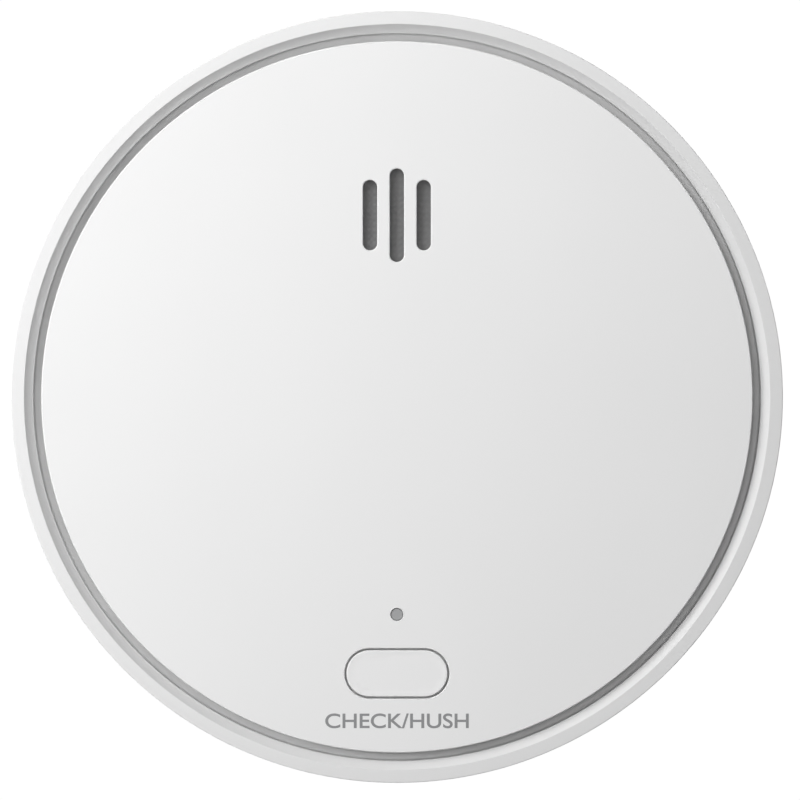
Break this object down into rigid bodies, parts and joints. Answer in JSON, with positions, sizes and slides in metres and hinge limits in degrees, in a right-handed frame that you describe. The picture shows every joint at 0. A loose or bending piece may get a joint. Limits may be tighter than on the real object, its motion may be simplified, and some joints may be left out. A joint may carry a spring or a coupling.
{
  "type": "smoke alarm",
  "caption": "Round ceiling smoke alarm with a flat face, a ring-shaped smoke inlet, sounder slots and a test button, twist-locked on a screw-fixed bracket.",
  "frame": {"origin": "centre of the mounting bracket's ceiling face, at the bottom of the part's box", "axes": "+Z out of the alarm's face, away from the ceiling; +Y from the test button towards the sounder slots"},
  "size_m": [0.11, 0.11, 0.0361],
  "materials": {
    "bracket_plastic": "moulded white plastic with a fine matt texture",
    "slider_plastic": "moulded dark grey plastic",
    "cover_plastic": "moulded white plastic, satin",
    "face_plastic": "moulded white plastic, satin",
    "button_plastic": "moulded white plastic, satin",
    "clear_plastic": "milky clear plastic, polished",
    "dust_cloth": "fine grey woven cloth",
    "dark_plastic": "moulded black plastic",
    "chamber_plastic": "matt black plastic that soaks up light",
    "brass": "rolled brass sheet",
    "piezo_ceramic": "fired ceramic under a thin silver layer",
    "plated_steel": "nickel plated, bright",
    "screen_steel": "etched steel sheet",
    "lamp_resin": "dark blue tinted resin, glossy",
    "receiver_resin": "black tinted resin, glossy",
    "status_resin": "red tinted resin, glossy",
    "circuit_board": "glass fibre board with green solder mask",
    "cell_sleeve": "blue shrink sleeve",
    "chip_resin": "moulded black epoxy",
    "coil": "enamelled copper wire on a ferrite core",
    "capacitor_can": "drawn aluminium can",
    "chip_ceramic": "small ceramic parts"
  },
  "bodies": {
    "bracket": {"mounting_bracket": "bracket_plastic"},
    "slider": {"power_slider": "slider_plastic"},
    "head": {"rear_housing": "cover_plastic", "outer_cover": "cover_plastic", "face_plate": "face_plastic", "light_pipe": "clear_plastic", "dust_cloth": "dust_cloth", "resonator": "dark_plastic", "piezo_disc": "brass", "piezo_ceramic": "piezo_ceramic", "piezo_springs": "plated_steel", "chamber_base": "chamber_plastic", "chamber_cap": "chamber_plastic", "insect_screen": "screen_steel", "infrared_lamp": "lamp_resin", "light_receiver": "receiver_resin", "circuit_board": "circuit_board", "button_switch": "dark_plastic", "status_lamp": "status_resin", "power_switch": "dark_plastic", "battery_cell": "cell_sleeve", "battery_tabs": "plated_steel", "control_chip": "chip_resin", "sensor_chip": "chip_resin", "sounder_coil": "coil", "capacitors": "capacitor_can", "chip_parts": "chip_ceramic", "board_screws": "plated_steel", "housing_screws": "plated_steel"},
    "button": {"test_button": "button_plastic"},
    "plunger": {"switch_plunger": "dark_plastic"}
  },
  "joints": [
    {"name": "lift_off", "type": "slide", "parent": "bracket", "child": "slider", "axis": [0, 0, 1], "range_m": [0, 0.03]},
    {"name": "twist_lock", "type": "hinge", "parent": "slider", "child": "head", "pos_m": [0, 0, 0], "axis": [0, 0, 1], "range_deg": [-16, 0]},
    {"name": "test_button_press", "type": "slide", "parent": "head", "child": "button", "axis": [0, 0, -1], "range_m": [0, 0.0008], "stiffness_N_per_m": 1200},
    {"name": "plunger_press", "type": "slide", "parent": "head", "child": "plunger", "axis": [0, 0, -1], "range_m": [0, 0.00085]}
  ],
  "couplings": [
    {"joint": "plunger_press", "follows": "test_button_press", "ratio": 1}
  ]
}
